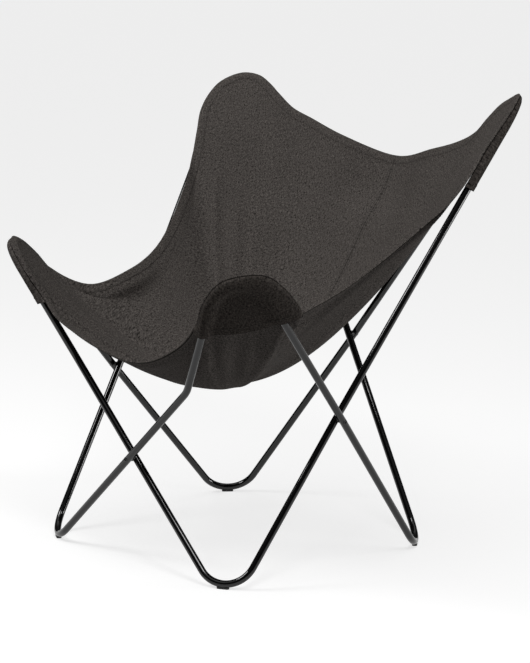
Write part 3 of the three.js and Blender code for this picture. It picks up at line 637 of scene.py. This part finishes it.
def bowl(shares, counts, side):
    """Middle surface of a half on rays from the low point: each rises by its own power of the share
    travelled, and bows a little forward. Then come the easing, the fans, the folds and the rods."""
    ends = rim(counts, side)
    ray = ends - seat_low
    turn = np.degrees(np.arctan2(ends[..., 0], seat_low[1] - ends[..., 1]))
    power = steepness(turn)
    points = seat_low + ray * shares[..., None]
    points[..., 2] = seat_low[2] + ray[..., 2] * shares ** power
    points[..., 1] -= ray_bow * (shares - shares ** 2) * (ends[..., 0] / ray_bow_half_width) ** 2
    points = relaxed(points, shares)
    window = np.clip((shares - fan_start) / fan_rise, 0, 1) * np.clip((fan_end - shares) / fan_fall, 0, 1)
    for middle_count, spread, height in fans.values():
        fan = np.exp(-((counts - middle_count) / spread) ** 2) * np.cos(np.pi * (counts - middle_count))
        points[..., 2] += height * window * fan * np.clip(points[..., 0] / fan_seam, 0, 1)
    normals = grid_normals(points)
    points = creased(points, normals * np.sign(normals[..., 2:] + 1e-9), shares, counts, creases[side])
    for end, sign in (("front", -1), ("back", 1)):
        chosen = (ends[0, :, 1] * sign > 0)
        rows = shares[:, 0] > corner_share
        patch = np.ix_(rows, chosen)
        softness = corner_softness * np.clip((1 - shares[patch]) / corner_rim, 0, 1) \
            * np.clip((shares[patch] - corner_share) / corner_rise, 0, 1)
        points[patch] = over_rods(points[patch], np.broadcast_to(ends, points.shape)[patch],
                                  corner_frames[end, side], 1, half_thickness, softness)
    return points


def grid_normals(points):
    """Normals of a grid of points: the cross product of its slopes down the columns and along the rows."""
    return unit(np.cross(np.gradient(points, axis=0), np.gradient(points, axis=1)) + [0, 0, 1e-12])


def sheet_faces(rows, columns):
    """Faces of a closed sheet: an upper and a lower grid joined by a strip round their edges."""
    top = np.arange(rows * columns).reshape(rows, columns)
    under = top + rows * columns

    def quads(grid):
        """Four corners of every cell of a grid."""
        return np.stack([grid[:-1, :-1], grid[1:, :-1], grid[1:, 1:], grid[:-1, 1:]], axis=-1).reshape(-1, 4)

    def strip(upper, lower):
        """Four corners of every cell between two edges."""
        return np.stack([upper[:-1], lower[:-1], lower[1:], upper[1:]], axis=-1)

    return np.concatenate([
        quads(top), quads(under)[:, ::-1], strip(top[:, 0], under[:, 0]), strip(under[:, -1], top[:, -1]),
        strip(top[-1], under[-1]), strip(under[0], top[0])]).tolist()


# Canvas: lines of painted shade, which stand in for the shadow in the gaps and sunk stitching of hems, seams
# and pocket rims, lie at set distances from the rim, and others from the middle seam or a pocket's mouth, each
# a list of places and depths. The top, the underside, the pockets and the plain cloth have a range of
# distances each, so that one material serves them all; the plain cloth's range holds no lines.
edge_span, edge_reach = 0.1, 0.025
under_from, pocket_from, plain_from = 0.03, 0.06, 0.08
rim_shade_lines = [
    (0.0166, 0), (0.0176, 0.5), (0.0186, 0),
    (under_from + 0.0012, 0), (under_from + 0.0020, 0.9), (under_from + 0.0034, 0.9), (under_from + 0.0044, 0),
    (under_from + 0.0166, 0), (under_from + 0.0176, 0.45), (under_from + 0.0186, 0),
    (pocket_from - 0.001, 0), (pocket_from, 0.6), (pocket_from + 0.0010, 0.5), (pocket_from + 0.0020, 0)]
inner_shade_lines = [
    (0.0, 0.75), (0.0007, 0.6), (0.0016, 0), (0.0054, 0), (0.0061, 0.3), (0.0068, 0),
    (pocket_from - 0.001, 0), (pocket_from, 0.4), (pocket_from + 0.0012, 0),
    (pocket_from + 0.0128, 0), (pocket_from + 0.0138, 0.45), (pocket_from + 0.0148, 0)]
yarns = {"warp": (0.0, (620, 210, 1), 1.0, 0.38), "weft": (0.0, (210, 620, 1), 1.0, 0.38),
         "slub": (0.78, (330, 90, 1), 2.0, 0.2), "cloud": (0.0, (11, 11, 1), 2.0, 0.04)}
dark_yarn, light_yarn = 0.38, 0.64
lint_scale, lint_radius, lint_rarity, lint_strength = 26, 0.022, 0.86, 0.6
# The second colour here is the colour of the painted shade lines.
lint_colour, painted_shade_colour = (0.3, 0.29, 0.27, 1), (0.004, 0.0035, 0.003, 1)
thread_scale, thread_waver, waver_detail, waver_scale = 260, 1.2, 1.0, 0.4
weave_share, yarn_share = 0.6, 0.3
weave_strength, weave_depth = 0.16, 0.0003


def canvas(name, dark, light):
    """Coarse plain-woven canvas: crossing threads in the bump, heathered yarn in two greys, a few pale
    specks, and painted shade in lines where it is folded or sewn, at set distances from its edges."""
    material, shader, nodes, link = blank(name)
    shader.inputs["Roughness"].default_value = 0.95
    shader.inputs["Specular IOR Level"].default_value = 0.06
    place = nodes.new("ShaderNodeUVMap")
    place.uv_map = "cloth"

    def yarn(turn, scale, detail):
        """Noise drawn out along one direction of the cloth."""
        mapping = nodes.new("ShaderNodeMapping")
        mapping.inputs["Rotation"].default_value = (0, 0, turn)
        mapping.inputs["Scale"].default_value = scale
        noise = nodes.new("ShaderNodeTexNoise")
        noise.inputs["Scale"].default_value = 1.0
        noise.inputs["Detail"].default_value = detail
        link(place.outputs["UV"], mapping.inputs["Vector"])
        link(mapping.outputs["Vector"], noise.inputs["Vector"])
        return noise.outputs["Fac"]

    def blend_of(kind, one, two):
        """One sum, product or comparison of two sockets or numbers."""
        node = nodes.new("ShaderNodeMath")
        node.operation = kind
        for socket, value in zip(node.inputs, (one, two)):
            if isinstance(value, float):
                socket.default_value = value
            else:
                link(value, socket)
        return node.outputs["Value"]

    mixed = None
    for turn, scale, detail, part in yarns.values():
        strand = blend_of("MULTIPLY", yarn(turn, scale, detail), part)
        mixed = strand if mixed is None else blend_of("ADD", mixed, strand)
    ramp = nodes.new("ShaderNodeValToRGB")
    ramp.color_ramp.elements[0].position = dark_yarn
    ramp.color_ramp.elements[0].color = (*dark, 1)
    ramp.color_ramp.elements[1].position = light_yarn
    ramp.color_ramp.elements[1].color = (*light, 1)
    link(mixed, ramp.inputs["Fac"])

    lint = nodes.new("ShaderNodeTexVoronoi")
    lint.inputs["Scale"].default_value = lint_scale
    link(place.outputs["UV"], lint.inputs["Vector"])
    near = blend_of("LESS_THAN", lint.outputs["Distance"], lint_radius)
    pick = nodes.new("ShaderNodeSeparateColor")
    link(lint.outputs["Color"], pick.inputs["Color"])
    chosen = blend_of("MULTIPLY", near, blend_of("GREATER_THAN", pick.outputs["Red"], lint_rarity))

    def lines(socket, stops):
        """Depth of the painted shade lines by a distance from an edge."""
        ramp = nodes.new("ShaderNodeValToRGB")
        for place, depth in stops:
            stop = ramp.color_ramp.elements.new(place / edge_span)
            stop.color = (depth, depth, depth, 1)
        ramp.color_ramp.elements[0].color = ramp.color_ramp.elements[-1].color = (0, 0, 0, 1)
        link(blend_of("DIVIDE", socket, edge_span), ramp.inputs["Fac"])
        return ramp.outputs["Color"]

    edges = nodes.new("ShaderNodeUVMap")
    edges.uv_map = "edge"
    split = nodes.new("ShaderNodeSeparateXYZ")
    link(edges.outputs["UV"], split.inputs["Vector"])
    # Painted shade: these lines darken the yarn colour towards the shade colour along hems, seams and pocket
    # rims.
    painted_shade_lines = blend_of("MAXIMUM", lines(split.outputs["X"], rim_shade_lines),
                          lines(split.outputs["Y"], inner_shade_lines))
    shaded = nodes.new("ShaderNodeMix")
    shaded.data_type = "RGBA"
    shaded.inputs["B"].default_value = painted_shade_colour
    link(painted_shade_lines, shaded.inputs["Factor"])

    speck = nodes.new("ShaderNodeMix")
    speck.data_type = "RGBA"
    speck.inputs["B"].default_value = lint_colour
    link(blend_of("MULTIPLY", chosen, lint_strength), speck.inputs["Factor"])
    link(ramp.outputs["Color"], shaded.inputs["A"])
    link(shaded.outputs["Result"], speck.inputs["A"])
    link(speck.outputs["Result"], shader.inputs["Base Color"])

    def threads(direction):
        """Waves across the cloth, a little wavering, one for each thread."""
        wave = nodes.new("ShaderNodeTexWave")
        wave.bands_direction = direction
        wave.inputs["Scale"].default_value = thread_scale
        wave.inputs["Distortion"].default_value = thread_waver
        wave.inputs["Detail"].default_value = waver_detail
        wave.inputs["Detail Scale"].default_value = waver_scale
        link(place.outputs["UV"], wave.inputs["Vector"])
        return wave.outputs["Fac"]

    weave = blend_of("ABSOLUTE", blend_of("SUBTRACT", threads("X"), threads("Y")), 0.0)
    rough = blend_of("ADD", blend_of("MULTIPLY", weave, weave_share), blend_of("MULTIPLY", mixed, yarn_share))
    bump = nodes.new("ShaderNodeBump")
    bump.inputs["Strength"].default_value = weave_strength
    bump.inputs["Distance"].default_value = weave_depth
    link(rough, bump.inputs["Height"])
    link(bump.outputs["Normal"], shader.inputs["Normal"])
    return material


# The second canvas is a darker copy of the first: painted shade for the hollows of the pockets.
charcoal = canvas("charcoal_canvas", (0.0150, 0.0131, 0.0120), (0.155, 0.139, 0.128))
painted_shade_charcoal = canvas("pocket_canvas_painted_shade", (0.0085, 0.0071, 0.0062), (0.100, 0.087, 0.078))

# Grid of a half: a column is a ray and a row is a share of the way out. Columns stand closest at the corners
# and rows near the rim, where the hem is.
stretches = ((0, 1.8, 26), (1.8, 8, 92), (8, 13.4, 40), (13.4, 22.6, 104), (22.6, 25, 26))
coarse_rows, fine_rows, fine_share = 48, 64, 0.84
fine_counts = np.concatenate([np.linspace(a, b, n, endpoint=False) for a, b, n in stretches] + [[25.0]])
fine_shares = np.concatenate([np.linspace(0, fine_share, coarse_rows, endpoint=False),
                              np.linspace(fine_share, 1, fine_rows)])
share_grid, count_grid = np.meshgrid(fine_shares, fine_counts, indexing="ij")

# Stitches: a doubled yarn of the cloth's own colour, sewn by machine along the hems, the middle seam and the
# pockets. Each one is a spindle, given as pairs of a radius and the share of its length where it lies.
thread_shape = np.array([(0.00010, -0.5), (0.00026, -0.3), (0.00032, 0.0), (0.00026, 0.3), (0.00010, 0.5)])
stitch_pitch, stitch_length, stitch_sides = 0.0050, 0.0036, 6
stitch_sink, look_ahead = 0.00014, 0.001
thread = coated("thread", (0.030, 0.027, 0.025), 0.7, 0.3)


def stitches(name, rows, side):
    """Rows of stitches as one piece: each stitch is a short spindle along its row, sunk a little in the
    cloth. A row is its line and the cloth's outward directions, both resampled to an even pitch."""
    rings = []
    for line, outward in rows:
        way = np.concatenate([[0], np.cumsum(np.linalg.norm(np.diff(line, axis=0), axis=1))])
        places = np.arange(stitch_pitch / 2, way[-1] - stitch_pitch / 2, stitch_pitch)
        middles = np.stack([np.interp(places, way, line[:, k]) for k in range(3)], -1)
        ahead_of = np.stack([np.interp(places + look_ahead, way, line[:, k]) for k in range(3)], -1)
        up = unit(np.stack([np.interp(places, way, outward[:, k]) for k in range(3)], -1))
        run = unit(ahead_of - middles)
        across = np.cross(up, run)
        turn = np.linspace(0, 2 * np.pi, stitch_sides, endpoint=False)
        spokes = np.cos(turn)[:, None] * across[:, None] + np.sin(turn)[:, None] * up[:, None]
        radius, along = thread_shape.T
        rings.append(middles[:, None, None] + up[:, None, None] * (radius[:, None, None] - stitch_sink)
                     + run[:, None, None] * (along[:, None, None] * stitch_length)
                     + radius[:, None, None] * spokes[:, None])
    rings = np.concatenate(rings)
    one = np.array(wrapped(len(thread_shape), stitch_sides)[:-2])
    caps = np.array(wrapped(len(thread_shape), stitch_sides)[-2:])
    jumps = np.arange(len(rings))[:, None, None] * len(thread_shape) * stitch_sides
    faces = (one[None] + jumps).reshape(-1, 4).tolist()
    faces += (caps[None] + jumps).reshape(-1, stitch_sides).tolist()
    return mesh_piece(name, rings * mirror[side], faces, thread, weld=1e-7)


def row_at(points, outward, distance, wanted):
    """Line across a grid's columns where a distance that falls along each column reaches a wanted value."""
    last = distance.shape[0] - 1 - (distance[::-1] > wanted).argmax(0)
    last = np.minimum(last, distance.shape[0] - 2)
    columns = np.arange(distance.shape[1])
    near, far = distance[last, columns], distance[last + 1, columns]
    part = np.clip((near - wanted) / np.maximum(near - far, 1e-9), 0, 1)[:, None]
    return (points[last, columns] * (1 - part) + points[last + 1, columns] * part,
            outward[last, columns] * (1 - part) + outward[last + 1, columns] * part)


def lined(first, second, offset=0.0):
    """Pairs of distances to two edges, each cut off at the reach of the lines, and the first moved into its
    own range."""
    return np.stack([np.minimum(first, edge_reach) + offset, np.minimum(second, edge_reach)], axis=-1)


hem_stitch, seam_stitch = 0.0150, 0.0045
edge_round, edge_round_width = 0.0004, 0.0012
rim_overrun, rim_samples = 0.6, 1400
seam_rows, seam_columns = slice(2, -10), 16
inner_row, inner_column = 60, 60
for side in ("left", "right"):
    middle = bowl(share_grid, count_grid, side)
    middle[..., 0] = np.maximum(middle[..., 0], 0)
    middle[:, [0, -1], 0] = 0
    normals = grid_normals(middle)
    normals *= np.sign(normals[inner_row, inner_column, 2])
    normals[0] = (0, 0, 1)
    normals[:, [0, -1], 0] = 0
    normals = unit(normals)
    rim_line = rim(np.linspace(-rim_overrun, fine_counts[-1] + rim_overrun, rim_samples), side)
    to_rim = np.linalg.norm(middle - rim_line[nearest(middle, rim_line)], axis=-1)
    swell = half_thickness + hem_swell * rises(to_rim, hem_width, hem_step)
    swell += seam_swell * rises(middle[..., 0], seam_width, seam_step)
    swell -= edge_round * np.clip(1 - to_rim / edge_round_width, 0, 1)
    top, under = middle + normals * swell[..., None], middle - normals * swell[..., None]
    travelled = np.cumsum(np.linalg.norm(np.diff(middle, axis=0, prepend=middle[:1]), axis=-1), axis=0)
    ends = rim(count_grid, side)
    turn = np.arctan2(ends[..., 0], seat_low[1] - ends[..., 1])
    uv = np.stack([travelled * np.sin(turn), -travelled * np.cos(turn)], axis=-1)
    # Painted shade lines run under the rim on the left half's underside only; the right half's underside has
    # none along its rim.
    beneath = under_from if side == "left" else plain_from
    edge = np.stack([lined(to_rim, middle[..., 0]), lined(to_rim, middle[..., 0], beneath)])
    piece = mesh_piece(f"sling_{side}", np.stack([top, under]) * mirror[side], sheet_faces(*middle.shape[:2]),
                       charcoal, [f"sling_half_{side}"], np.stack([uv, uv]), edge)
    seam_lines = []
    for face, sign in ((top, 1), (under, -1)):
        seam_lines.append(row_at(face, normals * sign, to_rim, hem_stitch))
        for order in (1, -1):
            near_seam = face[seam_rows, ::order][:, :seam_columns]
            inward = (normals * sign)[seam_rows, ::order][:, :seam_columns]
            seam_lines.append(row_at(near_seam.swapaxes(0, 1)[::-1], inward.swapaxes(0, 1)[::-1],
                                     near_seam[..., 0].T[::-1], seam_stitch))
    {"piece": piece, "thread": stitches(f"thread_{side}", seam_lines, side)}

# Pockets: a second layer of the canvas behind each corner, sewn to the half along the rim and hemmed across
# its mouth. The bend of the rods fills it and holds up that corner of the sling.
mouth_shares = {"front": [0, -0.97, -0.18], "back": [0.2, -1.85, -0.18]}
pocket_half_thickness, pocket_softness, pocket_rim = 0.0006, 0.004, 0.05
mouth_hem, mouth_swell, mouth_step = 0.014, 0.0006, 0.0012
pocket_columns, lower_rows, upper_rows = 150, 30, 60
thread_margin = slice(6, -6)
pocket_inset, pocket_bulge, pocket_sag = 0.0016, 0.0028, 0.026
mouth_stitch, joining_stitch = 0.0120, 0.0060
heights = np.concatenate([np.linspace(0, 0.5, lower_rows, endpoint=False), np.linspace(0.5, 1, upper_rows)])
heights = heights[:, None]
for end, side in rods:
    corner = corner_frames[end, side]
    counts = np.linspace(*pocket_counts[end], pocket_columns)
    under_rim = (half_thickness + hem_swell + pocket_half_thickness) * corner["inwards"]
    ends = rim(counts, side) - under_rim
    ends += unit(corner["centre"] - ends) * pocket_inset
    start, finish = ends[0], ends[-1]
    middle_point = from_shares(corner, mouth_shares[end])
    lead = 2 * middle_point - (start + finish) / 2
    travel = np.linspace(0, 1, len(counts))[:, None]
    mouth = (1 - travel) ** 2 * start + 2 * travel * (1 - travel) * lead + travel ** 2 * finish
    layer = mouth + (ends - mouth) * heights[..., None]
    softness = pocket_softness * np.clip((1 - heights) / pocket_rim, 0, 1)
    layer = over_rods(layer, np.broadcast_to(ends, layer.shape), corner, -1, pocket_half_thickness, softness,
                      pocket_bulge, pocket_sag)
    normals = grid_normals(layer)
    normals *= np.sign((normals[upper_rows, pocket_columns // 2] @ corner["inwards"]))
    to_mouth = np.linalg.norm(layer - layer[0][nearest(layer, layer[0])], axis=-1)
    swell = pocket_half_thickness + mouth_swell * rises(to_mouth, mouth_hem, mouth_step)
    top, under = layer + normals * swell[..., None], layer - normals * swell[..., None]
    to_edge = np.linalg.norm(layer - layer[-1][nearest(layer, layer[-1])], axis=-1)
    offset = layer - corner["centre"]
    uv = np.stack([offset @ corner["across"], offset @ corner["raise"]], -1)
    # Every pocket but the front right one takes the darker canvas of painted shade and the painted shade lines
    # at its rim and mouth; the front right one is plain charcoal without them.
    plain = (end, side) == ("front", "right")
    edge = lined(to_edge, to_mouth)
    edge += plain_from if plain else pocket_from
    cloth = charcoal if plain else painted_shade_charcoal
    piece = mesh_piece(f"pocket_{end}_{side}", np.stack([top, under]) * mirror[side],
                       sheet_faces(*layer.shape[:2]), cloth, [f"sling_pocket_{end}_{side}"],
                       np.stack([uv, uv]), np.stack([edge, edge]))
    outside = top if (top - layer)[lower_rows, pocket_columns // 2] @ corner["inwards"] < 0 else under
    outward = unit(outside - layer)
    rows = [row_at(outside[::order, thread_margin], outward[::order, thread_margin],
                   distance[::order, thread_margin], wanted)
            for order, distance, wanted in ((1, to_edge, joining_stitch), (-1, to_mouth, mouth_stitch))]
    sewn = stitches(f"pocket_thread_{end}_{side}", rows, side)
